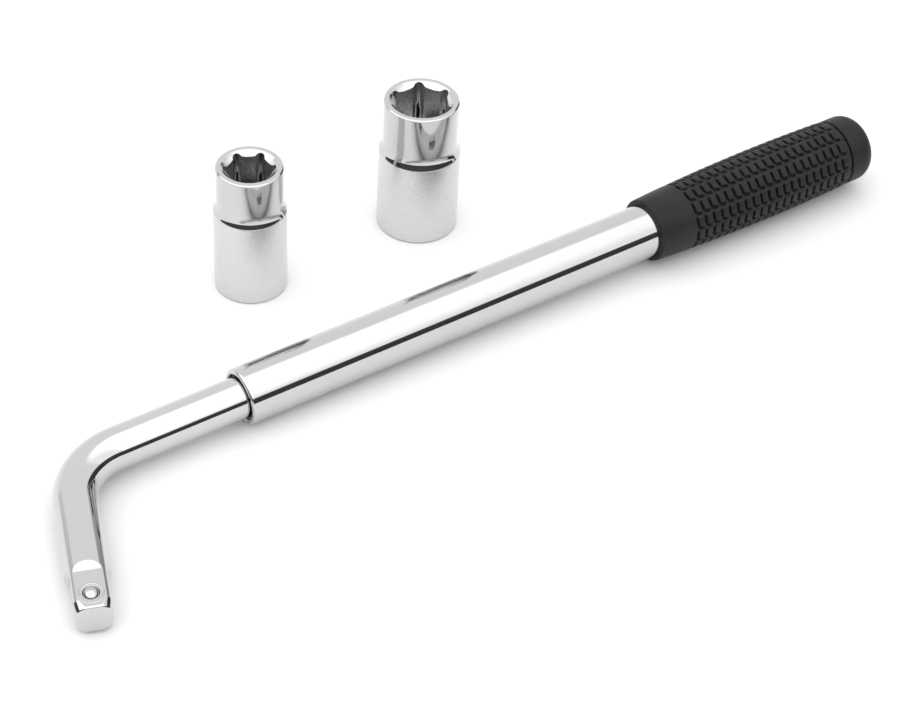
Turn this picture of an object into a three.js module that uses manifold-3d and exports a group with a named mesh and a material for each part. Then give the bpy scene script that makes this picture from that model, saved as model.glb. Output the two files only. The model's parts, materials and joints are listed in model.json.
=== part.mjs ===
// Telescopic lug wrench lying on a floor, with its two double-ended sockets standing beside it.
// Millimetres, +Z up, floor at z = 0. The origin is the middle of the set's footprint on the floor.
//
// The wrench is modelled in its own frame first: the axes of its two arms cross at the origin, the
// long arm runs along +X inside the handle, and the short leg with the square drive runs off
// towards -Y. "Station" below means a distance along the long arm's axis, and "reach" a distance
// along the leg's axis, both from that crossing point.

import * as THREE from 'three';
import { mergeVertices } from 'three/addons/utils/BufferGeometryUtils.js';
import Module from 'manifold-3d';

const DEGREE = Math.PI / 180;
const GAP = 0.3;
const ROUND_SIDES = 32;

// Bent bar
const BAR_RADIUS = 8;
const BEND_ANGLE = 110 * DEGREE;
const BEND_RADIUS = 26;
const BEND_STEPS = 10;
const LEG_REACH = 71;
const BAR_INNER_END = 290;

// Square drive, cut on the end of the leg
const DRIVE_SQUARE = 12.7;
const DRIVE_FLAT_LENGTH = 16.4;
const DRIVE_CUTTER_RADIUS = 3.6;
const DRIVE_LEAD_LENGTH = 4;
const DRIVE_LEAD_RADIUS = 6.9;

// Spring-loaded balls: one holds a socket on the drive, one holds the handle in or out
const DRIVE_BALL_REACH = 64.5;
const LOCK_BALL_STATION = 282;
const BALL_LIP_DEPTH = 0.3;
const DRIVE_BALL = { radius: 3.1, protrusion: 1.5, holeRadius: 3.4, mouthRadius: 2.95, holeDepth: 11.5 };
const LOCK_BALL = { radius: 2.6, protrusion: 1, holeRadius: 2.9, mouthRadius: 2.4, holeDepth: 11 };

// Springs under the balls
const SPRING_RADIUS = 1.9;
const SPRING_WIRE_RADIUS = 0.35;
const SPRING_TURNS = 4;

// Split guide collar in its groove near the bar's inner end
const COLLAR_STATION = 263;
const COLLAR_LENGTH = 10;
const COLLAR_GROOVE_RADIUS = 6.6;
const COLLAR_SLIT = 2;

// Outer tube
const TUBE_START = 69;
const TUBE_END = 360;
const TUBE_RADIUS = 11;
const TUBE_BORE_RADIUS = 9.5;
const MOUTH_RADIUS = 9.1;
const MOUTH_LIP_LENGTH = 1.2;
const MOUTH_ROUNDING = 1;
const LOCK_GROOVE_DEPTH = 0.5;
const LOCK_GROOVE_WIDTH = 5;
const SLIDE_TRAVEL = 180;

// Bush in the tube's mouth and plug in its far end
const BUSH_LENGTH = 12;
const BUSH_WALL = 1;
const PLUG_LENGTH = 8;

// Grip and its end cap
const GRIP_START = 256.7;
const GRIP_END = 356.2;
const GRIP_BULGE_STATION = 320;
const GRIP_BULGE_RADIUS = 15;
const GRIP_FRONT_RADIUS = 13;
const GRIP_REST_STATION = 304;
const GRIP_EDGE_ROUNDING = 0.8;
const GRIP_STEPS = 9;
const CAP_START = 357;
const CAP_END = 370.4;
const CAP_RADIUS = 14.2;
const CAP_ROUNDING = 6.5;

// Sockets, each with a hexagon at both ends and a square hole for the drive between them.
// "turn" is how far each one is turned about its upright axis.
const SOCKET_SQUARE = 12.9;
const SOCKET_CHAMFER = 0.5;
const SOCKET_LAND = 2.2;
const SOCKET_LEAD_SLOPE = 0.8;
const SOCKET_SIDES = 48;
const SMALL_SOCKET = {
  name: 'small_socket',
  position: [112.7, 67.7],
  turn: 32.5 * DEGREE,
  height: 57,
  upperRadius: 13.15,
  lowerRadius: 14.4,
  upperHexagon: 17,
  lowerHexagon: 19,
  shoulder: [36.8, 39.3],
  hexagonDepth: 22,
};
const LARGE_SOCKET = {
  name: 'large_socket',
  position: [191.7, 68.2],
  turn: 2.5 * DEGREE,
  height: 60,
  upperRadius: 15.15,
  lowerRadius: 16.6,
  upperHexagon: 21,
  lowerHexagon: 23,
  shoulder: [36.3, 39.2],
  hexagonDepth: 23.5,
};

const chrome = { color: 0xe9ebee, roughness: 0.05, metalness: 1 };
const steel = { color: 0xa6a8ab, roughness: 0.3, metalness: 1 };
const springSteel = { color: 0x8b8d90, roughness: 0.4, metalness: 1 };
const nylon = { color: 0xd8d5cb, roughness: 0.6, metalness: 0 };
const rubber = { color: 0x2b2b2c, roughness: 0.65, metalness: 0 };

const wasm = await Module();
wasm.setup();

// Booleans: a closed geometry goes in as a solid, and the result comes back as a geometry.

function solid(geometry) {
  const bare = geometry.clone();
  bare.deleteAttribute('normal');
  bare.deleteAttribute('uv');
  const welded = mergeVertices(bare);
  const mesh = new wasm.Mesh({
    numProp: 3,
    vertProperties: new Float32Array(welded.attributes.position.array),
    triVerts: new Uint32Array(welded.index.array),
  });
  return new wasm.Manifold(mesh);
}

function cut(geometry, tools) {
  let result = solid(geometry);
  for (const tool of tools) {
    result = result.subtract(solid(tool));
  }
  const mesh = result.getMesh();
  const made = new THREE.BufferGeometry();
  made.setAttribute('position', new THREE.BufferAttribute(mesh.vertProperties, 3));
  made.setIndex(new THREE.BufferAttribute(mesh.triVerts, 1));
  made.computeVertexNormals();
  return made;
}

// Turned shapes. An outline is a list of [radius, distance along the axis], listed so that the
// axis distance rises along the outside; it closes on itself or starts and ends on the axis.

function turnedUpright(outline, sides = ROUND_SIDES) {
  const points = outline.map(([radius, height]) => new THREE.Vector2(radius, height));
  return new THREE.LatheGeometry(points, sides).rotateX(Math.PI / 2);
}

function turnedLengthwise(outline, sides = ROUND_SIDES) {
  return turnedUpright(outline, sides).rotateY(Math.PI / 2);
}

function ring(innerRadius, outerRadius, start, end) {
  return [
    [innerRadius, start],
    [outerRadius, start],
    [outerRadius, end],
    [innerRadius, end],
    [innerRadius, start],
  ];
}

function disc(radius, start, end) {
  return [[0, start], [radius, start], [radius, end], [0, end]];
}

// Points of a quarter circle in an outline, from one angle to another about a centre.
function roundCorner(radius, centre, fromAngle, toAngle, steps) {
  const points = [];
  for (let i = 0; i <= steps; i += 1) {
    const angle = fromAngle + ((toAngle - fromAngle) * i) / steps;
    points.push([centre[0] + radius * Math.cos(angle), centre[1] + radius * Math.sin(angle)]);
  }
  return points;
}

function circle(radius) {
  return new THREE.Shape().absarc(0, 0, radius, 0, 2 * Math.PI);
}

// Leg frame: +X runs along the leg to the drive's end. This turns a geometry into the wrench's.
function alongLeg(geometry) {
  return geometry.rotateZ(-BEND_ANGLE);
}

// The bar's centreline, from the drive's end round the bend to the inner end. Its parameter goes
// by station and not by length, so that the rings crowd in the bend and the arms have none.
class BarPath extends THREE.Curve {
  constructor() {
    super();
    this.tangentLength = BEND_RADIUS / Math.tan(BEND_ANGLE / 2);
    this.turn = Math.PI - BEND_ANGLE;
  }

  getPoint(t, target = new THREE.Vector3()) {
    const along = t * (BEND_STEPS + 2);
    if (along > BEND_STEPS + 1) {
      const share = along - BEND_STEPS - 1;
      return target.set(THREE.MathUtils.lerp(this.tangentLength, BAR_INNER_END, share), 0, 0);
    }
    if (along < 1) {
      const reach = THREE.MathUtils.lerp(LEG_REACH, this.tangentLength, along);
      return target.set(reach * Math.cos(BEND_ANGLE), -reach * Math.sin(BEND_ANGLE), 0);
    }
    const angle = Math.PI / 2 + this.turn * (1 - (along - 1) / BEND_STEPS);
    return target.set(
      this.tangentLength + BEND_RADIUS * Math.cos(angle),
      BEND_RADIUS * (Math.sin(angle) - 1),
      0,
    );
  }

  getUtoTmapping(u) {
    return u;
  }
}

class Helix extends THREE.Curve {
  constructor(bottom, top) {
    super();
    this.bottom = bottom;
    this.top = top;
  }

  getPoint(t, target = new THREE.Vector3()) {
    const angle = 2 * Math.PI * SPRING_TURNS * t;
    const height = THREE.MathUtils.lerp(this.bottom, this.top, t);
    return target.set(SPRING_RADIUS * Math.cos(angle), SPRING_RADIUS * Math.sin(angle), height);
  }
}

// A ball's hole goes down from a surface at height "surface", with a staked lip that keeps the
// ball in. The hole, the ball and its spring share an upright axis through the origin.

function ballHole(spec, surface) {
  const lip = surface - BALL_LIP_DEPTH;
  return turnedUpright([
    [0, surface - spec.holeDepth],
    [spec.holeRadius, surface - spec.holeDepth],
    [spec.holeRadius, lip],
    [spec.mouthRadius, lip],
    [spec.mouthRadius, surface + 2],
    [0, surface + 2],
  ], 20);
}

function ballCentre(spec, surface) {
  return surface + spec.protrusion - spec.radius;
}

function ball(spec, surface) {
  return new THREE.SphereGeometry(spec.radius, 20, 12).translate(0, 0, ballCentre(spec, surface));
}

function ballSpring(spec, surface) {
  const bottom = surface - spec.holeDepth + GAP + SPRING_WIRE_RADIUS;
  const top = ballCentre(spec, surface) - spec.radius - GAP - SPRING_WIRE_RADIUS;
  return new THREE.ExtrudeGeometry(circle(SPRING_WIRE_RADIUS), {
    steps: SPRING_TURNS * 12,
    curveSegments: 3,
    bevelEnabled: false,
    extrudePath: new Helix(bottom, top),
  });
}

// Bent bar

// What the milling cutter takes off one side of the leg: everything above the flat, running out
// in a curve of the cutter's radius where the flat ends.
function driveSideCut(quarterTurns) {
  const flat = DRIVE_SQUARE / 2;
  const flatStart = LEG_REACH - DRIVE_FLAT_LENGTH;
  const margin = 5;
  const profile = new THREE.Shape();
  profile.moveTo(LEG_REACH + margin, flat);
  profile.lineTo(LEG_REACH + margin, flat + DRIVE_CUTTER_RADIUS);
  profile.absarc(flatStart, flat + DRIVE_CUTTER_RADIUS, DRIVE_CUTTER_RADIUS, Math.PI, 1.5 * Math.PI);
  const width = 4 * BAR_RADIUS;
  const side = new THREE.ExtrudeGeometry(profile, {
    depth: width,
    curveSegments: 8,
    bevelEnabled: false,
  });
  side.translate(0, 0, -width / 2);
  side.rotateX(Math.PI / 2 + (quarterTurns * Math.PI) / 2);
  return alongLeg(side);
}

// Turned lead-in on the drive's corners.
function driveLeadCut() {
  return alongLeg(turnedLengthwise([
    [BAR_RADIUS, LEG_REACH - DRIVE_LEAD_LENGTH],
    [BAR_RADIUS + 2, LEG_REACH - DRIVE_LEAD_LENGTH],
    [BAR_RADIUS + 2, LEG_REACH + 1],
    [DRIVE_LEAD_RADIUS, LEG_REACH + 1],
    [DRIVE_LEAD_RADIUS, LEG_REACH],
    [BAR_RADIUS, LEG_REACH - DRIVE_LEAD_LENGTH],
  ]));
}

function collarGrooveCut() {
  return turnedLengthwise(ring(
    COLLAR_GROOVE_RADIUS,
    BAR_RADIUS + 2,
    COLLAR_STATION - GAP,
    COLLAR_STATION + COLLAR_LENGTH + GAP,
  ));
}

function bentBar() {
  const bar = new THREE.ExtrudeGeometry(circle(BAR_RADIUS), {
    steps: BEND_STEPS + 2,
    curveSegments: ROUND_SIDES / 2,
    bevelEnabled: false,
    extrudePath: new BarPath(),
  });
  return cut(bar, [
    driveSideCut(0),
    driveSideCut(1),
    driveSideCut(2),
    driveSideCut(3),
    driveLeadCut(),
    collarGrooveCut(),
    alongLeg(ballHole(DRIVE_BALL, DRIVE_SQUARE / 2).translate(DRIVE_BALL_REACH, 0, 0)),
    ballHole(LOCK_BALL, BAR_RADIUS).translate(LOCK_BALL_STATION, 0, 0),
  ]);
}

// A plain ring with a slit, so that it snaps into the bar's groove.
function guideCollar() {
  const inner = COLLAR_GROOVE_RADIUS + GAP;
  const outer = TUBE_BORE_RADIUS - GAP;
  const end = COLLAR_STATION + COLLAR_LENGTH;
  const slit = new THREE.BoxGeometry(COLLAR_LENGTH + 2, COLLAR_SLIT, outer);
  slit.translate(COLLAR_STATION + COLLAR_LENGTH / 2, 0, -outer);
  return cut(turnedLengthwise(ring(inner, outer, COLLAR_STATION, end)), [slit]);
}

// Handle

function outerTube() {
  const lipEnd = TUBE_START + MOUTH_LIP_LENGTH;
  const rounding = roundCorner(
    MOUTH_ROUNDING,
    [TUBE_RADIUS - MOUTH_ROUNDING, TUBE_START + MOUTH_ROUNDING],
    -Math.PI / 2,
    0,
    4,
  );
  const outline = [
    [MOUTH_RADIUS, TUBE_START],
    ...rounding,
    [TUBE_RADIUS, TUBE_END],
    [TUBE_BORE_RADIUS, TUBE_END],
  ];
  for (const station of [LOCK_BALL_STATION, LOCK_BALL_STATION - SLIDE_TRAVEL]) {
    const back = station + LOCK_GROOVE_WIDTH / 2;
    const front = station - LOCK_GROOVE_WIDTH / 2;
    outline.push(
      [TUBE_BORE_RADIUS, back],
      [TUBE_BORE_RADIUS + LOCK_GROOVE_DEPTH, back - LOCK_GROOVE_DEPTH],
      [TUBE_BORE_RADIUS + LOCK_GROOVE_DEPTH, front + LOCK_GROOVE_DEPTH],
      [TUBE_BORE_RADIUS, front],
    );
  }
  outline.push([TUBE_BORE_RADIUS, lipEnd], [MOUTH_RADIUS, lipEnd], [MOUTH_RADIUS, TUBE_START]);
  return turnedLengthwise(outline);
}

function mouthBush() {
  const outer = TUBE_BORE_RADIUS - GAP;
  const start = TUBE_START + MOUTH_LIP_LENGTH + GAP;
  return turnedLengthwise(ring(outer - BUSH_WALL, outer, start, start + BUSH_LENGTH));
}

function tubeEndPlug() {
  return turnedLengthwise(disc(TUBE_BORE_RADIUS - GAP, TUBE_END - PLUG_LENGTH, TUBE_END));
}

// The grip's outside is a parabola, thickest at the bulge and thinnest at its front.
function gripRadius(station) {
  const curvature = (GRIP_BULGE_RADIUS - GRIP_FRONT_RADIUS) / (GRIP_BULGE_STATION - GRIP_START) ** 2;
  return GRIP_BULGE_RADIUS - curvature * (station - GRIP_BULGE_STATION) ** 2;
}

function gripSleeve() {
  const bore = TUBE_RADIUS + GAP;
  const edge = GRIP_EDGE_ROUNDING;
  const outline = [[bore, GRIP_START], [GRIP_FRONT_RADIUS - edge, GRIP_START]];
  for (let i = 0; i <= GRIP_STEPS; i += 1) {
    const station = THREE.MathUtils.lerp(GRIP_START + edge, GRIP_END - edge, i / GRIP_STEPS);
    outline.push([gripRadius(station), station]);
  }
  outline.push([gripRadius(GRIP_END) - edge, GRIP_END], [bore, GRIP_END], [bore, GRIP_START]);
  return turnedLengthwise(outline, 40);
}

function gripEndCap() {
  const bore = TUBE_RADIUS + GAP;
  const floor = TUBE_END + GAP;
  const rounding = roundCorner(
    CAP_ROUNDING,
    [CAP_RADIUS - CAP_ROUNDING, CAP_END - CAP_ROUNDING],
    0,
    Math.PI / 2,
    6,
  );
  return turnedLengthwise([
    [0, floor],
    [bore, floor],
    [bore, CAP_START],
    [CAP_RADIUS - GRIP_EDGE_ROUNDING, CAP_START],
    [CAP_RADIUS, CAP_START + GRIP_EDGE_ROUNDING],
    ...rounding,
    [0, CAP_END],
  ], 40);
}

// Sockets

// A prism of a regular polygon, given its size across flats, standing on a height range.
function polygonPrism(sides, acrossFlats, bottom, top) {
  const radius = acrossFlats / 2 / Math.cos(Math.PI / sides);
  const prism = new THREE.CylinderGeometry(radius, radius, top - bottom, sides);
  return prism.rotateX(Math.PI / 2).translate(0, 0, (bottom + top) / 2);
}

// The flared lead-in of a socket's mouth: a cone point down, as wide as "radius" at height 0.
function leadInCone(radius, margin) {
  const outer = radius + margin / SOCKET_LEAD_SLOPE;
  const point = radius * SOCKET_LEAD_SLOPE;
  return turnedUpright([[0, -point], [outer, margin], [0, margin]], SOCKET_SIDES);
}

function socketGeometry(spec) {
  const { height, upperRadius, lowerRadius, shoulder, hexagonDepth } = spec;
  const body = turnedUpright([
    [0, 0],
    [lowerRadius - SOCKET_CHAMFER, 0],
    [lowerRadius, SOCKET_CHAMFER],
    [lowerRadius, shoulder[0]],
    [upperRadius, shoulder[1]],
    [upperRadius, height - SOCKET_CHAMFER],
    [upperRadius - SOCKET_CHAMFER, height],
    [0, height],
  ], SOCKET_SIDES);
  const turn = spec.turn - Math.PI / 2;
  const margin = 2;
  return cut(body, [
    polygonPrism(6, spec.lowerHexagon, -margin, hexagonDepth).rotateZ(turn),
    polygonPrism(6, spec.upperHexagon, height - hexagonDepth, height + margin).rotateZ(turn),
    polygonPrism(4, SOCKET_SQUARE, -margin, height + margin).rotateZ(Math.PI / 4),
    leadInCone(lowerRadius - SOCKET_LAND, margin).rotateX(Math.PI),
    leadInCone(upperRadius - SOCKET_LAND, margin).translate(0, 0, height),
  ]);
}

// Assembly

function piece(name, geometry, look) {
  const made = new THREE.Mesh(geometry, new THREE.MeshStandardMaterial(look));
  made.name = name;
  return made;
}

function socket(spec) {
  const made = piece(spec.name, socketGeometry(spec), chrome);
  made.position.set(spec.position[0], spec.position[1], 0);
  return made;
}

// The wrench rests on three places: the grip's belly, the tube's mouth and the leg's last round
// stretch. The heights of the bar's axis over them give the slopes of the wrench's own X and Y.
const mouthStation = TUBE_START + MOUTH_ROUNDING;
const slopeX = (gripRadius(GRIP_REST_STATION) - TUBE_RADIUS) / (GRIP_REST_STATION - mouthStation);
const cornerHeight = TUBE_RADIUS - slopeX * mouthStation;
const millingDepth = BAR_RADIUS - DRIVE_SQUARE / 2;
const runoutLength = Math.sqrt(DRIVE_CUTTER_RADIUS ** 2 - (DRIVE_CUTTER_RADIUS - millingDepth) ** 2);
const legContact = LEG_REACH - DRIVE_FLAT_LENGTH - runoutLength;
const legDrop = cornerHeight + slopeX * legContact * Math.cos(BEND_ANGLE) - BAR_RADIUS;
const slopeY = legDrop / (legContact * Math.sin(BEND_ANGLE));
const pitch = Math.asin(slopeX);
const roll = Math.asin(slopeY / Math.cos(pitch));

const leg = new THREE.Group();
leg.rotation.z = -BEND_ANGLE;
const driveBall = piece('drive_ball', ball(DRIVE_BALL, DRIVE_SQUARE / 2), steel);
driveBall.position.x = DRIVE_BALL_REACH;
const driveBallSpring = piece(
  'drive_ball_spring',
  ballSpring(DRIVE_BALL, DRIVE_SQUARE / 2),
  springSteel,
);
driveBallSpring.position.x = DRIVE_BALL_REACH;
leg.add(driveBall, driveBallSpring);

const lockBall = piece('lock_ball', ball(LOCK_BALL, BAR_RADIUS), steel);
lockBall.position.x = LOCK_BALL_STATION;
const lockBallSpring = piece('lock_ball_spring', ballSpring(LOCK_BALL, BAR_RADIUS), springSteel);
lockBallSpring.position.x = LOCK_BALL_STATION;

const handle = new THREE.Group();
handle.add(
  piece('outer_tube', outerTube(), chrome),
  piece('mouth_bush', mouthBush(), steel),
  piece('tube_end_plug', tubeEndPlug(), steel),
  piece('grip_sleeve', gripSleeve(), rubber),
  piece('grip_end_cap', gripEndCap(), rubber),
);

const wrench = new THREE.Group();
wrench.add(
  piece('l_bar', bentBar(), chrome),
  leg,
  piece('guide_collar', guideCollar(), nylon),
  lockBall,
  lockBallSpring,
  handle,
);
wrench.rotation.set(roll, -pitch, 0, 'YXZ');
wrench.position.z = cornerHeight;

const set = new THREE.Group();
set.add(wrench, socket(SMALL_SOCKET), socket(LARGE_SOCKET));

// Bring the middle of the footprint to the origin.
const bounds = new THREE.Box3().setFromObject(set, true);
const middle = bounds.getCenter(new THREE.Vector3());
set.position.set(-middle.x, -middle.y, -bounds.min.z);

export default set;
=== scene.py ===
import json
import math

import bmesh
import bpy
from mathutils import Matrix, Vector


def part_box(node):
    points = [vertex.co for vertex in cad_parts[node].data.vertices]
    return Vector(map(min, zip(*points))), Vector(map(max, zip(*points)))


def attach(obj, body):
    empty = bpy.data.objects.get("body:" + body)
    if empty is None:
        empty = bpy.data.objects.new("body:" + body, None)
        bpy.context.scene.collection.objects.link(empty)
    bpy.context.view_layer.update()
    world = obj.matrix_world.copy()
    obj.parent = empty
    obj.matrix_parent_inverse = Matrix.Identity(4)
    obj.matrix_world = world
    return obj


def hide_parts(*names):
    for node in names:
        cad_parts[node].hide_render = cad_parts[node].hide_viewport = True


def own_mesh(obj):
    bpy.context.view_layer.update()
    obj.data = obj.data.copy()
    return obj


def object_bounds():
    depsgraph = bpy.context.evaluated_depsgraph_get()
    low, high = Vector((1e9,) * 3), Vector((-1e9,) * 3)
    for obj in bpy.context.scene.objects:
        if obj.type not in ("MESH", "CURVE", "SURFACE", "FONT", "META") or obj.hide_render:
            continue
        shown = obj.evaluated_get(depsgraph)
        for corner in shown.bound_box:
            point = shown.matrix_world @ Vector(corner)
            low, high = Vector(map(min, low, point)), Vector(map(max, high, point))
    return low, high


# Looks of the telescopic lug wrench and its two sockets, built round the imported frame.
#
# Every wrench piece is drawn in the wrench's own frame, in millimetres: the axes of its two arms
# cross at the origin, +X runs along the long arm ("station") and the short leg with the square
# drive runs off at BEND_ANGLE towards -Y ("reach"). placed() then turns it into the row frame,
# in metres, with axes read from the record's joint and mounts. Sockets are drawn upright.
# Tuples of four numbers in the studio's values read: start, end, value at start, value at end.

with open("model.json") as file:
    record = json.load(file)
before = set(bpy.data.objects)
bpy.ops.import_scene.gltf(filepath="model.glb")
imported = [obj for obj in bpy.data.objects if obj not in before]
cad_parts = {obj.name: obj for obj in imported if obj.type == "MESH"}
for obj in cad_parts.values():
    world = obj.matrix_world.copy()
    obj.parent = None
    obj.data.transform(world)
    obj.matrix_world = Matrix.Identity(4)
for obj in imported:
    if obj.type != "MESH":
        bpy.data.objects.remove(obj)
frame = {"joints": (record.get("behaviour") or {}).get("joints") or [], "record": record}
cad_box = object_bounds()
record = frame["record"]

MM = 0.001
FULL_TURN = 2 * math.pi
SUPPORT_REACH = 0.15
CUT_SHARP = 30

# Bent bar
BAR_RADIUS = 8
BEND_ANGLE = math.radians(110)
BEND_RADIUS = 26
BEND_STEPS = 72
LEG_REACH = 71
BAR_INNER_END = 290
INNER_END_FILLET = 0.8
TURNED_CORE = 0.5
BAR_SIDES = 256
TANGENT_LENGTH = BEND_RADIUS / math.tan(BEND_ANGLE / 2)

# Square drive
DRIVE_HALF = 6.35
FLAT_START = LEG_REACH - 16.4
CUTTER_RADIUS = 3.6
LEAD_START = LEG_REACH - 4
LEAD_RADIUS = 6.9
MILLED_EDGE = 0.35
END_FILLET = 0.8
END_FILLET_STEPS = 5
END_FACE_INSETS = (1.8, 1.2)
DRIVE_RING_PITCH = 0.15

# Balls and springs
DRIVE_BALL = {"radius": 3.1, "protrusion": 1.5, "hole": 3.4, "mouth": 2.95, "depth": 11.5}
LOCK_BALL = {"radius": 2.6, "protrusion": 1.0, "hole": 2.9, "mouth": 2.4, "depth": 11.0}
DRIVE_BALL_REACH = 64.5
LOCK_BALL_STATION = 282
BALL_SIDES = 64
BALL_STEPS = 32
HOLE_CORE = 0.4
HOLE_LIP = 0.3
HOLE_LIP_SLOPE = 0.15
HOLE_CHAMFER = 0.17
CHAMFER_BELOW = 0.12
CHAMFER_ABOVE = 0.05
HOLE_CLEARANCE = 2
STAKE_RADIUS = 4.15
STAKE_WIDTH = 0.28
STAKE_SIDES = 12
SPRING_RADIUS = 1.9
WIRE_RADIUS = 0.35
WIRE_SIDES = 12
SPRING_TURNS = 4
STEPS_PER_TURN = 40

# Guide collar and its groove in the bar
COLLAR_START = 263
COLLAR_END = 273
COLLAR_GROOVE_RADIUS = 6.6
COLLAR_GROOVE_FILLET = 0.1
COLLAR_INNER_FILLET = 0.2
COLLAR_OUTER_FILLET = 0.5
COLLAR_SLIT = 2
GAP = 0.3

# Tube
TUBE_START = 69
TUBE_END = 360
TUBE_RADIUS = 11
BORE_RADIUS = 9.5
MOUTH_RADIUS = 9.1
MOUTH_INNER_FILLET = 0.45
MOUTH_OUTER_FILLET = 1.1
END_OUTER_FILLET = 0.3
END_INNER_FILLET = 0.2
LIP_LENGTH = 1.2
GROOVE_STATIONS = (282, 102)
GROOVE_HALF = 2.5
GROOVE_DEPTH = 0.5
BUSH_LENGTH = 12
BUSH_RADIUS = 8.2
BUSH_INNER_FILLET = 0.2
BUSH_OUTER_FILLET = 0.15
PLUG_LENGTH = 8
PLUG_FILLET = 0.4
PRESSED_RADIUS = BORE_RADIUS - 0.05

# Grip
GRIP_START = 256.7
GRIP_END = 356.2
BULGE_STATION = 320
BULGE_RADIUS = 15
FRONT_RADIUS = 13
GRIP_BORE = 11.05
GRIP_EDGE = 0.7
GRIP_EDGE_STEPS = 6
BAND_RINGS = 9
BAND_RING_PITCH = 1.2
TREAD_LEAD = 0.6
ROW_PHASE = math.radians(10)
GRIP_ROWS = 14
SIDES_PER_ROW = 24
FIRST_SLOT = 274.2
SLOT_PITCH = 4.04
SLOT_COUNT = 20
RINGS_PER_PITCH = 14
CAP_START = 357
CAP_END = 370.4
CAP_RADIUS = 14.2
CAP_ROUNDING = 6.5
CAP_EDGE = 0.7
CAP_CORE = 0.6

# Shape of one tread slot, in millimetres. "across" runs up the row from its lower edge.
SLOT_DEPTH = 1.5
SLOT_HALF_WIDTH = 0.5
SLOT_WALL = 0.3
SLOT_LOW = 0.95
SLOT_HIGH = 5.3
FOOT_TURN = 1.7
FOOT_LENGTH = 2.2
VALLEY_DEPTH = 0.35
VALLEY_HALF = 0.9
PAD_CROWN = 0.12
TREAD_START = FIRST_SLOT - 2
TREAD_EASE = 1.5

# Sockets
SOCKET_SIDES = 360
SOCKET_SQUARE = 12.9
SOCKET_LAND = 2.2
LEAD_SLOPE = 0.8
FOOT_CHAMFER = 0.4
FOOT_FILLETS = (0.1, 0.3)
RIM_CHAMFER = 0.5
RIM_FILLETS = (0.4, 0.25)
SHOULDER_FILLET = 1.5
NECK_FILLET = 7
MOUTH_TOP_STEP = 0.1
MOUTH_STEP = 0.13
MOUTH_STEPS = 19
MOUTH_BOTTOM = 5
# Faces this far in from the land take the inside finish, a lighter copy of the satin: painted light down
# the holes.
PAINTED_LIGHT_INSIDE_MARGIN = 1.0
SATIN_MARGIN = 0.6
SMALL_SOCKET = {
    "height": 57,
    "upper": 13.15,
    "lower": 14.4,
    "shoulder": (36.8, 39.3),
    "upper_hexagon": 17,
    "lower_hexagon": 19,
    "hexagon_depth": 22,
    "turn": math.radians(32.5),
    "groove": 0.4,
    "groove_half": 2.0,
}
LARGE_SOCKET = {
    "height": 60,
    "upper": 15.15,
    "lower": 16.6,
    "shoulder": (36.3, 39.2),
    "upper_hexagon": 21,
    "lower_hexagon": 23,
    "hexagon_depth": 23.5,
    "turn": math.radians(2.5),
    "groove": 0.35,
    "groove_half": 2.2,
}

# Studio
CAMERA_PLACE = (-0.39115, -0.5348, 0.56612)
CAMERA_TURN = (48.534, -2.707, -33.734)
CAMERA_LENS = 88.43
SENSOR_WIDTH = 36
FLOOR_HALF = 4.0
FLOOR_DROP = 0.0002
FLOOR_TONE = 0.84
HEADING = Vector((0.5896, 0.8078, 0))
SIDEWAYS = Vector((0.8078, -0.5896, 0))
BACKDROP = 1.05
BAND_TONE = 0.05
SOFTBOX_EDGE = (0.72, 0.52)
SOFTBOX_ACROSS = (0.45, 1.0, 1.75, 1.3)
SOFTBOX_FORWARD = (-2.4, -0.9, 0.86, 1)
BAND_HEIGHT = (0.35, 0.31)
BAND_FRONT = (0.55, 0.2)
BAND_RIGHT = (0.33, 0.66)
LOWEST_UP = 0.001
SKY_MAP_SIZE = 512


# Frame of the wrench


def mount(name):
    """A mount's place and direction in the row frame."""
    found = [m for m in record["mounts"] if m["name"] == name][0]
    return Vector(found["pos_m"]), Vector(found["axis"]).normalized()


def wrench_matrix():
    """Turns the wrench's own millimetres into row-frame metres."""
    swivel = [j for j in frame["joints"] if j["name"] == "handle_swivel"][0]
    along = Vector(swivel["axis"]).normalized()
    upward = mount("drive_top_flat")[1]
    upward = (upward - along * upward.dot(along)).normalized()
    sideways = upward.cross(along)
    end, leg = mount("drive_end_face")
    corner = end - leg * LEG_REACH * MM
    turn = Matrix((along, sideways, upward)).transposed().to_4x4()
    return Matrix.Translation(corner) @ turn @ Matrix.Scale(MM, 4)


WRENCH = wrench_matrix()
LEG = Matrix.Rotation(-BEND_ANGLE, 4, "Z")


# Mesh helpers


def mesh_object(name, points, faces, sharp=35):
    """A new object with outward faces, smooth but for edges sharper than "sharp" degrees."""
    mesh = bpy.data.meshes.new(name)
    mesh.from_pydata(points, [], faces)
    shell = bmesh.new()
    shell.from_mesh(mesh)
    bmesh.ops.recalc_face_normals(shell, faces=shell.faces)
    shell.to_mesh(mesh)
    shell.free()
    mesh.shade_smooth()
    mesh.set_sharp_from_angle(angle=math.radians(sharp))
    made = bpy.data.objects.new(name, mesh)
    bpy.context.scene.collection.objects.link(made)
    return made


def lofted(name, rings, closed=False, sharp=35):
    """Skins rings of equally many points. Open stacks get a flat face at each end."""
    sides = len(rings[0])
    points = [tuple(p) for ring in rings for p in ring]
    faces = []
    bands = len(rings) if closed else len(rings) - 1
    for k in range(bands):
        low = k * sides
        high = ((k + 1) % len(rings)) * sides
        for i in range(sides):
            j = (i + 1) % sides
            faces.append((low + i, low + j, high + j, high + i))
    if not closed:
        faces.append(tuple(range(sides)))
        faces.append(tuple(range(len(points) - sides, len(points))))
    return mesh_object(name, points, faces, sharp)


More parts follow.
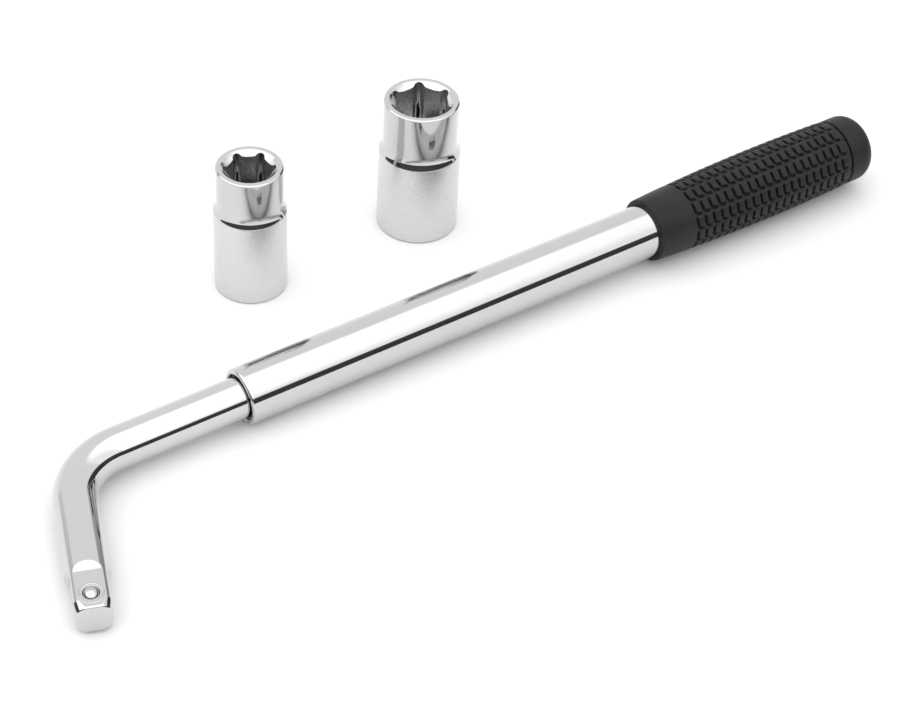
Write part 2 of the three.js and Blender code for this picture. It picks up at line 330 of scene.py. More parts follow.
def rounded(corners, steps=6, closed=True):
    """An outline from corners (x, y, fillet), with each corner turned into an arc.

    A support point just outside each arc keeps the shading of the long stretches straight.
    """
    points = []
    count = len(corners)
    for i, (x, y, fillet) in enumerate(corners):
        here = Vector((x, y))
        at_end = not closed and i in (0, count - 1)
        if fillet == 0 or at_end:
            points.append((x, y))
            continue
        before = (Vector(corners[i - 1][:2]) - here).normalized()
        after = (Vector(corners[(i + 1) % count][:2]) - here).normalized()
        half = before.angle(after) / 2
        back = fillet / math.tan(half)
        centre = here + (before + after).normalized() * (fillet / math.sin(half))
        start = here + before * back - centre
        sweep = start.angle_signed(here + after * back - centre)
        support = min(SUPPORT_REACH, fillet / 2)
        points.append(tuple(here + before * (back + support)))
        for k in range(steps + 1):
            points.append(tuple(centre + Matrix.Rotation(-sweep * k / steps, 2) @ start))
        points.append(tuple(here + after * (back + support)))
    return points


def circles(outline, sides):
    """Points (radius * cos, radius * sin, position) for each (radius, position)."""
    angles = [FULL_TURN * i / sides for i in range(sides)]
    rings = []
    for radius, position in outline:
        rings.append([(radius * math.cos(a), radius * math.sin(a), position) for a in angles])
    return rings


def turned_lengthwise(name, outline, sides=192, closed=True, sharp=35):
    """Turns an outline of (radius, station) about +X."""
    rings = [[(z, x, y) for x, y, z in ring] for ring in circles(outline, sides)]
    return lofted(name, rings, closed, sharp)


def turned_upright(name, outline, sides=96, closed=True, sharp=35):
    """Turns an outline of (radius, height) about +Z."""
    return lofted(name, circles(outline, sides), closed, sharp)


def cut(body, tool):
    """Takes the tool's solid out of the body and deletes the tool."""
    step = body.modifiers.new("cut", "BOOLEAN")
    step.operation = "DIFFERENCE"
    step.solver = "EXACT"
    step.object = tool
    graph = bpy.context.evaluated_depsgraph_get()
    result = bpy.data.meshes.new_from_object(body.evaluated_get(graph))
    body.modifiers.clear()
    old = body.data
    body.data = result
    bpy.data.meshes.remove(old)
    bpy.data.objects.remove(tool)
    body.data.shade_smooth()
    body.data.set_sharp_from_angle(angle=math.radians(CUT_SHARP))


def placed(piece, matrix, body, node, material):
    """Brings a piece into the row frame, gives it its material, hangs it under its body and hides the
    part it replaces.
    """
    piece.data.transform(matrix)
    piece.data.materials.clear()
    piece.data.materials.append(material)
    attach(piece, body)
    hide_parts(node)
    return piece


# Materials


class Tree:
    """A short way to write a node tree."""

    def __init__(self, tree):
        self.tree = tree

    def feed(self, socket, value):
        if isinstance(value, bpy.types.NodeSocket):
            self.tree.links.new(value, socket)
        else:
            socket.default_value = value

    def node(self, kind, inputs, **settings):
        made = self.tree.nodes.new(kind)
        for key, value in settings.items():
            setattr(made, key, value)
        for socket, value in inputs.items():
            self.feed(made.inputs[socket], value)
        return made

    def ranged(self, value, low, high, start=0.3, end=0.7, **settings):
        """Maps a value from start..end to low..high."""
        inputs = {"Value": value, "From Min": start, "From Max": end, "To Min": low, "To Max": high}
        return self.node("ShaderNodeMapRange", inputs, **settings).outputs["Result"]


class Nodes(Tree):
    """A material's node tree, round its Principled shader."""

    def __init__(self, name):
        self.material = bpy.data.materials.new(name)
        self.material.use_nodes = True
        super().__init__(self.material.node_tree)
        self.shader = self.tree.nodes["Principled BSDF"]
        self.coordinates = self.node("ShaderNodeTexCoord", {}).outputs["Object"]

    def set(self, **values):
        for name, value in values.items():
            self.feed(self.shader.inputs[name.replace("_", " ")], value)

    def noise(self, scale, detail=4.0, stretch=(1, 1, 1)):
        """Noise at "scale" per metre, drawn out along the axes with a low stretch."""
        placing = {"Vector": self.coordinates, "Scale": stretch}
        mapped = self.node("ShaderNodeMapping", placing).outputs["Vector"]
        pattern = {"Vector": mapped, "Scale": scale, "Detail": detail}
        return self.node("ShaderNodeTexNoise", pattern).outputs["Fac"]

    def blend(self, factor, first, second):
        """Mixes two colours."""
        mix = self.node("ShaderNodeMix", {"Factor": factor}, data_type="RGBA")
        self.feed(mix.inputs["A"], first)
        self.feed(mix.inputs["B"], second)
        return mix.outputs["Result"]

    def bump(self, height, distance, strength=1.0, normal=None):
        """Relief of "distance" metres, on top of another bump if one is given."""
        inputs = {"Height": height, "Distance": distance, "Strength": strength}
        if normal is not None:
            inputs["Normal"] = normal
        return self.node("ShaderNodeBump", inputs).outputs["Normal"]


def grey(value, warmth=0.0):
    """A grey colour, a little warm if asked."""
    return (value * (1 + warmth), value, value * (1 - warmth), 1)


def chrome(name, tone, roughness, waviness):
    """Chrome plate: nearly a mirror, with faint haze, polishing lines and a slight ripple."""
    n = Nodes(name)
    haze = n.noise(90, 3)
    lines = n.noise(900, 2, (0.08, 1, 1))
    tint = n.blend(n.ranged(haze, 0, 1), grey(tone), grey(tone * 0.97))
    spread = n.ranged(haze, roughness * 0.75, roughness * 1.35)
    ripple = n.bump(n.noise(60, 1), 0.00002, waviness)
    fine = n.bump(lines, 0.0000012, 0.5, ripple)
    n.set(Base_Color=tint, Metallic=1.0, Roughness=spread, Normal=fine)
    return n.material


def satin_chrome(name, tone, roughness):
    """Plate over a ground surface: fine upright grinding marks under the chrome."""
    n = Nodes(name)
    haze = n.noise(120, 3)
    marks = n.noise(5000, 2, (1, 1, 0.2))
    tint = n.blend(n.ranged(haze, 0, 1), grey(tone), grey(tone * 0.97))
    spread = n.ranged(marks, roughness * 0.9, roughness * 1.12)
    n.set(
        Base_Color=tint,
        Metallic=1.0,
        Roughness=spread,
        Normal=n.bump(marks, 0.0000003, 0.3),
    )
    return n.material


def steel(name, tone, roughness):
    """Bare turned steel: darker, with patches of haze and turning marks."""
    n = Nodes(name)
    haze = n.noise(200, 4)
    marks = n.noise(2500, 2)
    tint = n.blend(n.ranged(haze, 0, 1), grey(tone), grey(tone * 0.85, 0.01))
    n.set(
        Base_Color=tint,
        Metallic=1.0,
        Roughness=n.ranged(haze, roughness * 0.7, roughness * 1.4),
        Normal=n.bump(marks, 0.000004, 0.5),
    )
    return n.material


def nylon(name):
    """Natural nylon: milky, slightly mottled, with a soft gloss."""
    n = Nodes(name)
    cloud = n.noise(150, 4)
    tint = n.blend(n.ranged(cloud, 0, 1), (0.82, 0.8, 0.74, 1), (0.74, 0.71, 0.63, 1))
    n.set(
        Base_Color=tint,
        Roughness=n.ranged(cloud, 0.42, 0.6),
        Normal=n.bump(n.noise(1800, 3), 0.00001, 0.5),
        Subsurface_Weight=0.1,
    )
    return n.material


def rubber(name):
    """Moulded rubber: charcoal, with fine spark texture from the mould and duller patches."""
    n = Nodes(name)
    cloud = n.noise(60, 5)
    grain = n.noise(2600, 4)
    tint = n.blend(n.ranged(cloud, 0, 1), (0.011, 0.011, 0.0115, 1), (0.016, 0.016, 0.0165, 1))
    n.set(
        Base_Color=tint,
        Roughness=n.ranged(grain, 0.42, 0.58),
        Specular_IOR_Level=0.25,
        Normal=n.bump(grain, 0.00002, 0.6),
    )
    return n.material


# Bent bar


def smooth_min(a, b, reach):
    """The lesser of two lengths, rounded over where they are close."""
    near = max(reach - abs(a - b), 0) / reach
    return min(a, b) - near * near * reach / 4


def flat_distance(reach):
    """How far the milled flats are from the leg's axis, or None where there are none."""
    if reach >= FLAT_START:
        return DRIVE_HALF
    back = FLAT_START - reach
    if back >= CUTTER_RADIUS:
        return None
    rise = CUTTER_RADIUS - math.sqrt(CUTTER_RADIUS**2 - back**2)
    return DRIVE_HALF + rise


def leg_radius(reach, angle):
    """The round bar, tapered at its end, where the milled flats leave it standing."""
    lead = max(reach - LEAD_START, 0) / (LEG_REACH - LEAD_START)
    round_radius = BAR_RADIUS + (LEAD_RADIUS - BAR_RADIUS) * lead
    flat = flat_distance(reach)
    if flat is None:
        return round_radius
    square = flat / max(abs(math.cos(angle)), abs(math.sin(angle)))
    if square > round_radius + MILLED_EDGE:
        return round_radius
    return smooth_min(square, round_radius, MILLED_EDGE)


def bar_ring(centre, across, radius_at):
    """A ring round the bar's path, in the plane of "across" and +Z."""
    ring = []
    for i in range(BAR_SIDES):
        angle = FULL_TURN * i / BAR_SIDES
        radius = radius_at(angle)
        offset = across * (radius * math.cos(angle))
        ring.append(centre + offset + Vector((0, 0, radius * math.sin(angle))))
    return ring


def leg_rings():
    """Rings from the drive's end face to where the milling runs out."""
    direction = Vector((math.cos(BEND_ANGLE), -math.sin(BEND_ANGLE), 0))
    across = Vector((-direction.y, direction.x, 0))
    rings = []
    for inset in END_FACE_INSETS:
        rings.append(bar_ring(direction * LEG_REACH, across, lambda a: leg_radius(LEG_REACH, a) - inset))
    for k in range(END_FILLET_STEPS + 1):
        turn = math.pi / 2 * (1 - k / END_FILLET_STEPS)
        reach = LEG_REACH - END_FILLET * (1 - math.sin(turn))
        drop = END_FILLET * (1 - math.cos(turn))
        rings.append(bar_ring(direction * reach, across, lambda a: leg_radius(reach, a) - drop))
    reach = LEG_REACH - END_FILLET - DRIVE_RING_PITCH
    while reach > FLAT_START - CUTTER_RADIUS:
        rings.append(bar_ring(direction * reach, across, lambda a: leg_radius(reach, a)))
        reach -= DRIVE_RING_PITCH
    return rings


def bend_rings():
    """Rings round the bend, from the leg to the long arm."""
    rings = []
    turn = math.pi - BEND_ANGLE
    for k in range(BEND_STEPS + 1):
        angle = math.pi / 2 + turn * (1 - k / BEND_STEPS)
        outward = Vector((math.cos(angle), math.sin(angle), 0))
        centre = Vector((TANGENT_LENGTH, -BEND_RADIUS, 0)) + outward * BEND_RADIUS
        rings.append(bar_ring(centre, -outward, lambda a: BAR_RADIUS))
    return rings


def arm_rings():
    """Rings along the long arm, with the collar's groove, to its inner end."""
    corners = [
        (BAR_RADIUS, TANGENT_LENGTH, 0),
        (BAR_RADIUS, COLLAR_START - GAP, COLLAR_GROOVE_FILLET),
        (COLLAR_GROOVE_RADIUS, COLLAR_START - GAP, COLLAR_GROOVE_FILLET),
        (COLLAR_GROOVE_RADIUS, COLLAR_END + GAP, COLLAR_GROOVE_FILLET),
        (BAR_RADIUS, COLLAR_END + GAP, COLLAR_GROOVE_FILLET),
        (BAR_RADIUS, BAR_INNER_END, INNER_END_FILLET),
        (TURNED_CORE, BAR_INNER_END, 0),
    ]
    outline = rounded(corners, 4, closed=False)[1:]
    rings = []
    for radius, station in outline:
        rings.append(bar_ring(Vector((station, 0, 0)), Vector((0, -1, 0)), lambda a: radius))
    return rings


def ball_hole(spec, surface):
    """The hole a ball sits in, as a solid to cut away."""
    lip = surface - HOLE_LIP
    outline = [
        (HOLE_CORE, surface - spec["depth"]),
        (spec["hole"], surface - spec["depth"]),
        (spec["hole"], lip - HOLE_LIP_SLOPE),
        (spec["mouth"], lip),
        (spec["mouth"], surface - CHAMFER_BELOW),
        (spec["mouth"] + HOLE_CHAMFER, surface + CHAMFER_ABOVE),
        (spec["mouth"] + HOLE_CHAMFER, surface + HOLE_CLEARANCE),
        (HOLE_CORE, surface + HOLE_CLEARANCE),
    ]
    return turned_upright("hole", outline, closed=False)


def stake_groove(surface):
    """The shallow ring a staking punch leaves round the ball."""
    outline = []
    for k in range(STAKE_SIDES):
        angle = FULL_TURN * k / STAKE_SIDES
        radius = STAKE_RADIUS + STAKE_WIDTH * math.cos(angle)
        outline.append((radius, surface + STAKE_WIDTH * math.sin(angle)))
    return turned_upright("stake", outline)


def bent_bar():
    """The bar in one skin, with its ball holes and the staked ring cut in."""
    bar = lofted("bent_bar", leg_rings() + bend_rings() + arm_rings(), sharp=30)
    on_drive = LEG @ Matrix.Translation((DRIVE_BALL_REACH, 0, 0))
    on_arm = Matrix.Translation((LOCK_BALL_STATION, 0, 0))
    tools = [
        (ball_hole(DRIVE_BALL, DRIVE_HALF), on_drive),
        (stake_groove(DRIVE_HALF), on_drive),
        (ball_hole(LOCK_BALL, BAR_RADIUS), on_arm),
    ]
    for tool, matrix in tools:
        tool.data.transform(matrix)
        cut(bar, tool)
    return bar


def ball_centre(spec, surface):
    """How far a ball's centre is from the axis of the bar it sits in."""
    return surface + spec["protrusion"] - spec["radius"]


def detent_ball(name, spec, surface):
    """A ball, with its poles along Z."""
    centre = ball_centre(spec, surface)
    outline = []
    for k in range(1, BALL_STEPS):
        angle = math.pi * k / BALL_STEPS - math.pi / 2
        height = centre + spec["radius"] * math.sin(angle)
        outline.append((spec["radius"] * math.cos(angle), height))
    return turned_upright(name, outline, BALL_SIDES, closed=False, sharp=60)


def spring_span(spec, surface):
    """Heights of the wire's centre at a spring's two ends."""
    bottom = surface - spec["depth"] + GAP + WIRE_RADIUS
    top = ball_centre(spec, surface) - spec["radius"] - GAP - WIRE_RADIUS
    return bottom, top


def coil_spring(name, spec, surface):
    """A helix of round wire."""
    bottom, top = spring_span(spec, surface)
    steps = SPRING_TURNS * STEPS_PER_TURN
    slope = (top - bottom) / (FULL_TURN * SPRING_TURNS * SPRING_RADIUS)
    rings = []
    for k in range(steps + 1):
        angle = FULL_TURN * SPRING_TURNS * k / steps
        outward = Vector((math.cos(angle), math.sin(angle), 0))
        along = Vector((-math.sin(angle), math.cos(angle), slope)).normalized()
        upward = along.cross(outward)
        centre = outward * SPRING_RADIUS + Vector((0, 0, bottom + (top - bottom) * k / steps))
        ring = []
        for i in range(WIRE_SIDES):
            turn = FULL_TURN * i / WIRE_SIDES
            ring.append(centre + (outward * math.cos(turn) + upward * math.sin(turn)) * WIRE_RADIUS)
        rings.append(ring)
    return lofted(name, rings)


# Handle


def sliding_tube():
    """The tube, with its rolled-in mouth and the lock ball's two grooves."""
    corners = [
        (MOUTH_RADIUS, TUBE_START, MOUTH_INNER_FILLET),
        (TUBE_RADIUS, TUBE_START, MOUTH_OUTER_FILLET),
        (TUBE_RADIUS, TUBE_END, END_OUTER_FILLET),
        (BORE_RADIUS, TUBE_END, END_INNER_FILLET),
    ]
    for station in GROOVE_STATIONS:
        corners += [
            (BORE_RADIUS, station + GROOVE_HALF, 0),
            (BORE_RADIUS + GROOVE_DEPTH, station + GROOVE_HALF - GROOVE_DEPTH, 0),
            (BORE_RADIUS + GROOVE_DEPTH, station - GROOVE_HALF + GROOVE_DEPTH, 0),
            (BORE_RADIUS, station - GROOVE_HALF, 0),
        ]
    corners += [
        (BORE_RADIUS, TUBE_START + LIP_LENGTH, 0),
        (MOUTH_RADIUS, TUBE_START + LIP_LENGTH, 0),
    ]
    return turned_lengthwise("sliding_tube", rounded(corners, 8))


def mouth_ring():
    """The bearing ring pressed into the tube behind its lip."""
    start = TUBE_START + LIP_LENGTH + GAP
    corners = [
        (BUSH_RADIUS, start, BUSH_INNER_FILLET),
        (PRESSED_RADIUS, start, BUSH_OUTER_FILLET),
        (PRESSED_RADIUS, start + BUSH_LENGTH, BUSH_OUTER_FILLET),
        (BUSH_RADIUS, start + BUSH_LENGTH, BUSH_INNER_FILLET),
    ]
    return turned_lengthwise("mouth_ring", rounded(corners, 4))


def tube_plug():
    """The disc pressed into the tube's end."""
    corners = [
        (TURNED_CORE, TUBE_END - PLUG_LENGTH, 0),
        (PRESSED_RADIUS, TUBE_END - PLUG_LENGTH, PLUG_FILLET),
        (PRESSED_RADIUS, TUBE_END, PLUG_FILLET),
        (TURNED_CORE, TUBE_END, 0),
    ]
    return turned_lengthwise("tube_plug", rounded(corners, 4, closed=False), closed=False)


def split_collar():
    """The guide ring in the bar's groove, slit so that it can be sprung on."""
    inner = COLLAR_GROOVE_RADIUS + GAP
    outer = BORE_RADIUS - GAP
    corners = [
        (inner, COLLAR_START, COLLAR_INNER_FILLET),
        (outer, COLLAR_START, COLLAR_OUTER_FILLET),
        (outer, COLLAR_END, COLLAR_OUTER_FILLET),
        (inner, COLLAR_END, COLLAR_INNER_FILLET),
    ]
    collar = turned_lengthwise("split_collar", rounded(corners, 4))
    half = COLLAR_SLIT / 2
    section = [(half, -outer - 1), (half, 0), (-half, 0), (-half, -outer - 1)]
    rings = []
    for station in (COLLAR_START - 1, COLLAR_END + 1):
        rings.append([(station, y, z) for y, z in section])
    cut(collar, lofted("slit", rings))
    return collar


def grip_radius(station):
    """The grip's smooth outline, widest at its bulge."""
    fall = (BULGE_RADIUS - FRONT_RADIUS) / (BULGE_STATION - GRIP_START) ** 2
    return BULGE_RADIUS - fall * (station - BULGE_STATION) ** 2


def slot_distance(along, across):
    """How far a point is from a slot's J-shaped middle line, whose foot turns towards +station."""
    if across >= SLOT_LOW + FOOT_TURN:
        beyond = max(across - SLOT_HIGH, 0)
        upright = math.hypot(along, beyond)
    else:
        upright = math.hypot(along, across - SLOT_LOW - FOOT_TURN)
    if along >= FOOT_TURN:
        beyond = max(along - FOOT_LENGTH, 0)
        foot = math.hypot(beyond, across - SLOT_LOW)
    else:
        foot = math.hypot(along - FOOT_TURN, across - SLOT_LOW)
    bend = math.inf
    if along < FOOT_TURN and across < SLOT_LOW + FOOT_TURN:
        from_centre = math.hypot(along - FOOT_TURN, across - SLOT_LOW - FOOT_TURN)
        bend = abs(from_centre - FOOT_TURN)
    return min(upright, foot, bend)


def eased(value):
    """Goes smoothly from 0 to 1 as the value does."""
    value = min(max(value, 0), 1)
    return value * value * (3 - 2 * value)


def tread_depth(station, row_share, row_width):
    """How far the grip's surface lies below its smooth outline."""
    across = row_share * row_width
    index = round((station - FIRST_SLOT) / SLOT_PITCH)
    depth = 0.0
    for k in (index - 1, index):
        if 0 <= k < SLOT_COUNT:
            distance = slot_distance(station - FIRST_SLOT - k * SLOT_PITCH, across)
            depth = max(depth, eased((SLOT_HALF_WIDTH + SLOT_WALL / 2 - distance) / SLOT_WALL))
    in_tread = eased((station - TREAD_START) / TREAD_EASE)
    edge = min(across, row_width - across)
    valley = eased(1 - edge / VALLEY_HALF) * VALLEY_DEPTH * in_tread
    phase = (station - FIRST_SLOT) / SLOT_PITCH
    crown = PAD_CROWN * (1 - abs(math.sin(math.pi * phase))) * in_tread
    return max(depth * SLOT_DEPTH, valley) + crown * (1 - depth)


def tread_ring(station, drop):
    """A ring of the grip's surface, "drop" below its smooth outline."""
    radius = grip_radius(station) - drop
    row_width = FULL_TURN * radius / GRIP_ROWS
    ring = []
    for i in range(GRIP_ROWS * SIDES_PER_ROW):
        share = (i % SIDES_PER_ROW) / SIDES_PER_ROW
        angle = FULL_TURN * (i / SIDES_PER_ROW / GRIP_ROWS) + ROW_PHASE
        inside = radius - tread_depth(station, share, row_width)
        ring.append((station, -inside * math.cos(angle), inside * math.sin(angle)))
    return ring


def grip_edge(end, inward):
    """Rounds the grip over at one end, as (station, drop) from the full outline outwards."""
    stops = []
    for k in range(GRIP_EDGE_STEPS + 1):
        turn = math.pi / 2 * k / GRIP_EDGE_STEPS
        station = end + inward * GRIP_EDGE * (1 - math.sin(turn))
        stops.append((station, GRIP_EDGE * (1 - math.cos(turn))))
    return stops


def tread_grip():
    """The grip's sleeve, with its tread pads moulded in."""
    front = grip_edge(GRIP_START, 1)[::-1]
    band = [(GRIP_START + GRIP_EDGE + BAND_RING_PITCH * k, 0) for k in range(1, BAND_RINGS + 1)]
    pitch = SLOT_PITCH / RINGS_PER_PITCH
    start = band[-1][0] + TREAD_LEAD
    count = int((GRIP_END - GRIP_EDGE - start) / pitch)
    tread = [(start + pitch * k, 0) for k in range(count)]
    back = grip_edge(GRIP_END, -1)
    rings = [tread_ring(station, drop) for station, drop in front + band + tread + back]
    sides = GRIP_ROWS * SIDES_PER_ROW
    angles = [FULL_TURN * i / sides + ROW_PHASE for i in range(sides)]
    for station in (GRIP_END, GRIP_START):
        rings.append([(station, -GRIP_BORE * math.cos(a), GRIP_BORE * math.sin(a)) for a in angles])
    return lofted("tread_grip", rings, closed=True, sharp=60)


def grip_cap():
    """The rounded cap past the grip's joint line."""
    corners = [
        (CAP_CORE, TUBE_END + GAP, 0),
        (GRIP_BORE, TUBE_END + GAP, 0),
        (GRIP_BORE, CAP_START, 0),
        (CAP_RADIUS, CAP_START, CAP_EDGE),
        (CAP_RADIUS, CAP_END, CAP_ROUNDING),
        (CAP_CORE, CAP_END, 0),
    ]
    return turned_lengthwise("grip_cap", rounded(corners, 16, closed=False), closed=False)


# Sockets


def hexagon_radius(angle, across_flats, groove_depth, groove_half):
    """A hexagon's wall, with a round relief groove at each corner."""
    sector = (angle + math.pi / 6) % (math.pi / 3) - math.pi / 6
    wall = across_flats / 2 / math.cos(math.pi / 6 - abs(sector))
    corner = across_flats / 2 / math.cos(math.pi / 6)
    centre = corner + groove_depth - groove_half
    offset = abs(centre * math.sin(sector))
    if offset >= groove_half:
        return wall
    relief = centre * math.cos(sector) + math.sqrt(groove_half**2 - offset**2)
    return max(wall, relief)


def square_radius(angle):
    """The drive hole's wall."""
    sector = (angle + math.pi / 4) % (math.pi / 2) - math.pi / 4
    return SOCKET_SQUARE / 2 / math.cos(sector)


def socket_ring(radius_at, level):
    """A level ring of a socket's skin."""
    points = []
    for i in range(SOCKET_SIDES):
        angle = FULL_TURN * i / SOCKET_SIDES
        radius = radius_at(angle)
        points.append((radius * math.cos(angle), radius * math.sin(angle), level))
    return points


def socket_mouth(spec, across_flats, rim):
    """Stops from the rim down its flared lead-in into a hexagon, as (radius function, depth)."""
    stops = [0, MOUTH_TOP_STEP]
    stops += [MOUTH_TOP_STEP + MOUTH_STEP * k for k in range(1, MOUTH_STEPS + 1)]
    stops.append(MOUTH_BOTTOM)
    mouth = []
    for depth in stops:
        cone = rim - depth / LEAD_SLOPE

        def radius_at(angle, cone=cone):
            turned = angle - spec["turn"]
            wall = hexagon_radius(turned, across_flats, spec["groove"], spec["groove_half"])
            return max(wall, cone)

        mouth.append((radius_at, depth))
    return mouth


def socket(name, spec):
    """One closed skin: up the outside, over the rim, down the inside and round the foot."""
    height = spec["height"]
    corners = [
        (spec["lower"] - FOOT_CHAMFER, 0, FOOT_FILLETS[0]),
        (spec["lower"], FOOT_CHAMFER, FOOT_FILLETS[1]),
        (spec["lower"], spec["shoulder"][0], SHOULDER_FILLET),
        (spec["upper"], spec["shoulder"][1], NECK_FILLET),
        (spec["upper"], height - RIM_CHAMFER, RIM_FILLETS[0]),
        (spec["upper"] - RIM_CHAMFER, height, RIM_FILLETS[1]),
    ]
    outside = rounded(corners, 5, closed=False)
    upper = socket_mouth(spec, spec["upper_hexagon"], spec["upper"] - SOCKET_LAND)
    lower = socket_mouth(spec, spec["lower_hexagon"], spec["lower"] - SOCKET_LAND)
    depth = spec["hexagon_depth"]
    rings = [socket_ring(lambda a, r=radius: r, level) for radius, level in outside]
    rings += [socket_ring(radius_at, height - below) for radius_at, below in upper]
    rings.append(socket_ring(upper[-1][0], height - depth))
    rings.append(socket_ring(square_radius, height - depth))
    rings.append(socket_ring(square_radius, depth))
    rings.append(socket_ring(lower[-1][0], depth))
    rings += [socket_ring(radius_at, above) for radius_at, above in reversed(lower)]
    return lofted(name, rings, closed=True, sharp=28)


def finish_split(piece, spec, stand, polished, satin, inside):
    """A polished narrow half and rim, a satin wide half, and a rougher, lighter inside: painted light.
    """
    piece.data.materials.clear()
    for material in (polished, satin, inside):
        piece.data.materials.append(material)
    for face in piece.data.polygons:
        middle = face.center - stand
        out = math.hypot(middle.x, middle.y) / MM
        half = "lower" if middle.z < spec["shoulder"][0] * MM else "upper"
        # Faces deep in the hexagon and drive holes take the lighter copy of the satin, painted light in
        # the holes.
        if out < spec[half] - SOCKET_LAND - PAINTED_LIGHT_INSIDE_MARGIN:
            face.material_index = 2
        elif half == "lower" and out > spec["lower"] - SATIN_MARGIN:
            face.material_index = 1


# Assembly of the pieces


def add_bar(on_drive, on_arm):
    bar_chrome = chrome("bar_chrome", 0.62, 0.045, 0.5)
    ball_steel = steel("ball_steel", 0.6, 0.07)
    placed(bent_bar(), WRENCH, "l_bar", "l_bar", bar_chrome)
    drive_ball = detent_ball("drive_detent_ball", DRIVE_BALL, DRIVE_HALF)
    placed(drive_ball, on_drive, "drive_ball", "drive_ball", ball_steel)
    lock_ball = detent_ball("lock_detent_ball", LOCK_BALL, BAR_RADIUS)
    placed(lock_ball, on_arm, "lock_ball", "lock_ball", ball_steel)


def add_handle():
    tube_chrome = chrome("tube_chrome", 0.6, 0.06, 0.3)
    bush_steel = steel("bush_steel", 0.12, 0.35)
    collar_nylon = nylon("collar_nylon")
    grip_rubber = rubber("grip_rubber")
    placed(split_collar(), WRENCH, "guide_collar", "guide_collar", collar_nylon)
    placed(sliding_tube(), WRENCH, "handle", "outer_tube", tube_chrome)
    placed(mouth_ring(), WRENCH, "handle", "mouth_bush", bush_steel)
    placed(tube_plug(), WRENCH, "handle", "tube_end_plug", bush_steel)
    placed(tread_grip(), WRENCH, "handle", "grip_sleeve", grip_rubber)
    placed(grip_cap(), WRENCH, "handle", "grip_end_cap", grip_rubber)


def fitted_spring(name, spec, surface, matrix, node, material):
    """A spring under a ball, given a mesh of its own."""
    spring = coil_spring(name, spec, surface)
    placed(spring, matrix, "l_bar", node, material)
    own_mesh(spring)


def add_springs(on_drive, on_arm):
    wire_steel = steel("wire_steel", 0.4, 0.35)
    for which, spec, surface, matrix in (
        ("drive", DRIVE_BALL, DRIVE_HALF, on_drive),
        ("lock", LOCK_BALL, BAR_RADIUS, on_arm),
    ):
        name = which + "_spring_coil"
        node = which + "_ball_spring"
        fitted_spring(name, spec, surface, matrix, node, wire_steel)


def add_sockets():
    polished = chrome("socket_polish", 0.6, 0.05, 0.3)
    satin = satin_chrome("socket_satin", 0.66, 0.26)
    # The inside is the satin at a lighter tone: painted light standing in for light reaching down into
    # the holes.
    inside = satin_chrome("socket_inside_painted_light", 0.72, 0.28)
    for node, spec in (("small_socket", SMALL_SOCKET), ("large_socket", LARGE_SOCKET)):
        low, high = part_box(node)
        stand = Matrix.Translation(((low.x + high.x) / 2, (low.y + high.y) / 2, 0))
        made = socket(node + "_shell", spec)
        placed(made, stand @ Matrix.Scale(MM, 4), node, node, polished)
        finish_split(made, spec, stand.translation, polished, satin, inside)


# Studio


def camera():
    """A long lens, looking down on the wrench from its drive end."""
    data = bpy.data.cameras.new("camera")
    data.lens = CAMERA_LENS
    data.sensor_width = SENSOR_WIDTH
    made = bpy.data.objects.new("camera", data)
    made.location = CAMERA_PLACE
    made.rotation_euler = [math.radians(a) for a in CAMERA_TURN]
    bpy.context.scene.collection.objects.link(made)
    bpy.context.scene.camera = made


def floor():
    """A plain pale sheet, just under the lowest point of the part."""
    corners = [(-1, -1), (1, -1), (1, 1), (-1, 1)]
    points = [(x * FLOOR_HALF, y * FLOOR_HALF, 0) for x, y in corners]
    made = mesh_object("floor", points, [(0, 1, 2, 3)])
    made.location.z = cad_box[0][2] - FLOOR_DROP
    n = Nodes("floor_paper")
    cloud = n.noise(3, 3)
    tone = n.blend(n.ranged(cloud, 0, 1), grey(FLOOR_TONE), grey(FLOOR_TONE * 0.985))
    n.set(Base_Color=tone, Roughness=0.9, Specular_IOR_Level=0.0)
    made.data.materials.append(n.material)


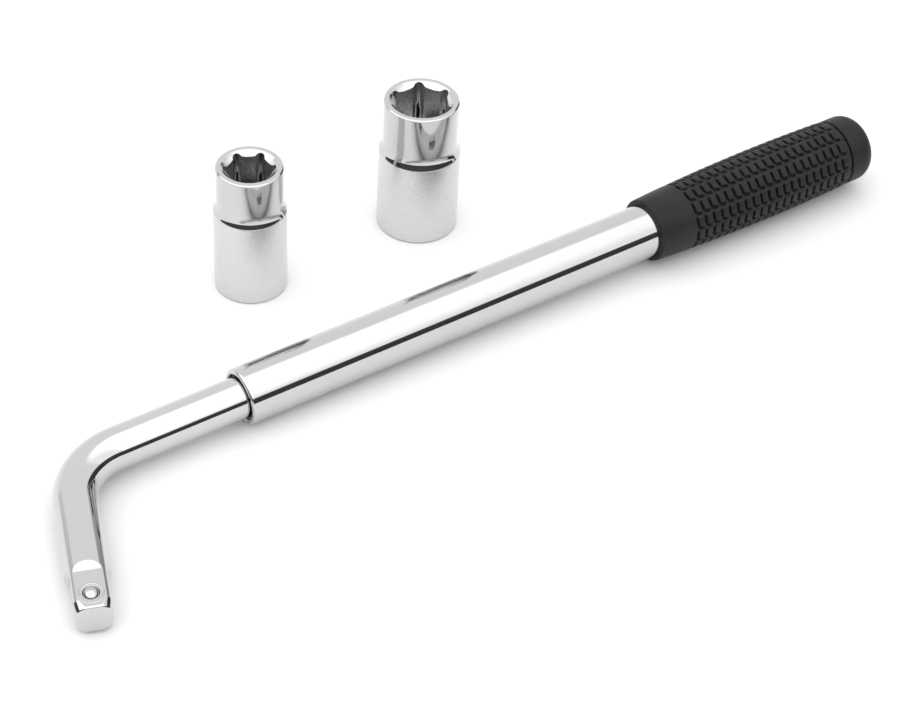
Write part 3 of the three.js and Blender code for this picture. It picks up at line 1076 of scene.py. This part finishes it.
def studio_light():
    """The room as the light comes from it.

    A big softbox hangs overhead, leaning to the front. A pale backdrop stands behind, and a dark
    strip lies between the floor and the softbox at the front. The background itself looks white.
    """
    world = bpy.data.worlds.new("studio")
    bpy.context.scene.world = world
    world.use_nodes = True
    sky = Tree(world.node_tree)
    direction = sky.node("ShaderNodeTexCoord", {}).outputs["Generated"]

    def maths(operation, first, second):
        return sky.node("ShaderNodeMath", {0: first, 1: second}, operation=operation).outputs[0]

    def along(axis):
        inputs = {0: direction, 1: axis}
        return sky.node("ShaderNodeVectorMath", inputs, operation="DOT_PRODUCT").outputs["Value"]

    def ramp(value, start, end, low=0.0, high=1.0):
        return sky.ranged(value, low, high, start, end, interpolation_type="SMOOTHSTEP")

    height = along((0, 0, 1))
    up = maths("MAXIMUM", height, LOWEST_UP)
    forward = maths("DIVIDE", along(HEADING), up)
    across = maths("DIVIDE", along((1, 0, 0)), up)
    softbox = ramp(forward, *SOFTBOX_EDGE)
    tone = maths("MULTIPLY", ramp(across, *SOFTBOX_ACROSS), ramp(forward, *SOFTBOX_FORWARD))
    excess = maths("MULTIPLY", softbox, maths("SUBTRACT", tone, BACKDROP))
    room = maths("ADD", BACKDROP, excess)
    front = ramp(along(HEADING), *BAND_FRONT)
    right = ramp(along(SIDEWAYS), *BAND_RIGHT)
    band = maths("MULTIPLY", ramp(height, *BAND_HEIGHT), maths("MAXIMUM", front, right))
    shade = maths("SUBTRACT", 1.0, maths("MULTIPLY", band, 1 - BAND_TONE))
    lit = maths("MULTIPLY", room, shade)
    seen = sky.node("ShaderNodeLightPath", {}).outputs["Is Camera Ray"]
    unseen = maths("SUBTRACT", 1.0, seen)
    background = sky.tree.nodes["Background"]
    sky.feed(background.inputs["Strength"], maths("ADD", maths("MULTIPLY", lit, unseen), seen))
    sky.feed(background.inputs["Color"], (1, 1, 1, 1))
    world.cycles.sampling_method = "MANUAL"
    world.cycles.sample_map_resolution = SKY_MAP_SIZE


on_drive = WRENCH @ LEG @ Matrix.Translation((DRIVE_BALL_REACH, 0, 0))
on_arm = WRENCH @ Matrix.Translation((LOCK_BALL_STATION, 0, 0))
add_bar(on_drive, on_arm)
add_handle()
add_springs(on_drive, on_arm)
add_sockets()
camera()
floor()
studio_light()
bpy.context.scene.view_settings.view_transform = "Standard"
